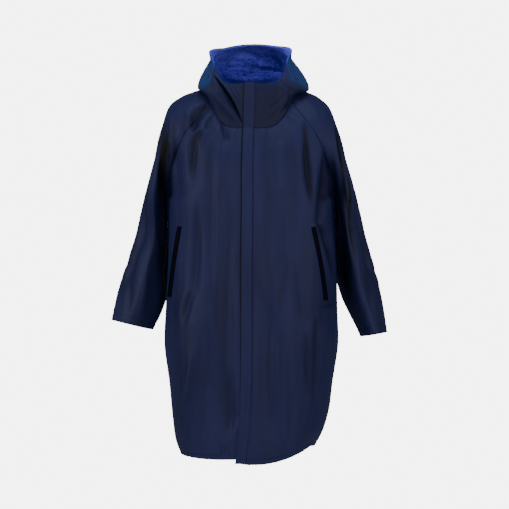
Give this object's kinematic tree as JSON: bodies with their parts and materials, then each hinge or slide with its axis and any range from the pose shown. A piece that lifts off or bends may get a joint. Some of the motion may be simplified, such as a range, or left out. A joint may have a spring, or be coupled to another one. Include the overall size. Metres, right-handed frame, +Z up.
{
  "type": "changing robe",
  "caption": "Hooded, fleece-lined changing robe with raglan sleeves, a storm flap over the front zip and slanted zip pockets, closed and filled out as if worn.",
  "frame": {"origin": "between the shoulders, on the robe's middle front to back, at the height where the shoulder line meets the neck", "axes": "+Z up, -Y the way the front faces, +X towards the wearer's left"},
  "size_m": [0.8393, 0.3698, 1.2697],
  "materials": {
    "shell": "fine plain weave, coated, with a soft sheen",
    "fleece": "deep pile",
    "trim": "closed coil zip on woven tape"
  },
  "bodies": {
    "root": {"front_right": "shell", "front_left": "shell", "back": "shell", "sleeve_right": "shell", "sleeve_left": "shell", "hood_side_right": "shell", "hood_side_left": "shell", "hood_centre": "shell", "hood_lining": "fleece", "storm_flap": "shell", "front_zip": "trim", "pocket_zip_right": "trim", "pocket_zip_left": "trim"}
  },
  "joints": []
}
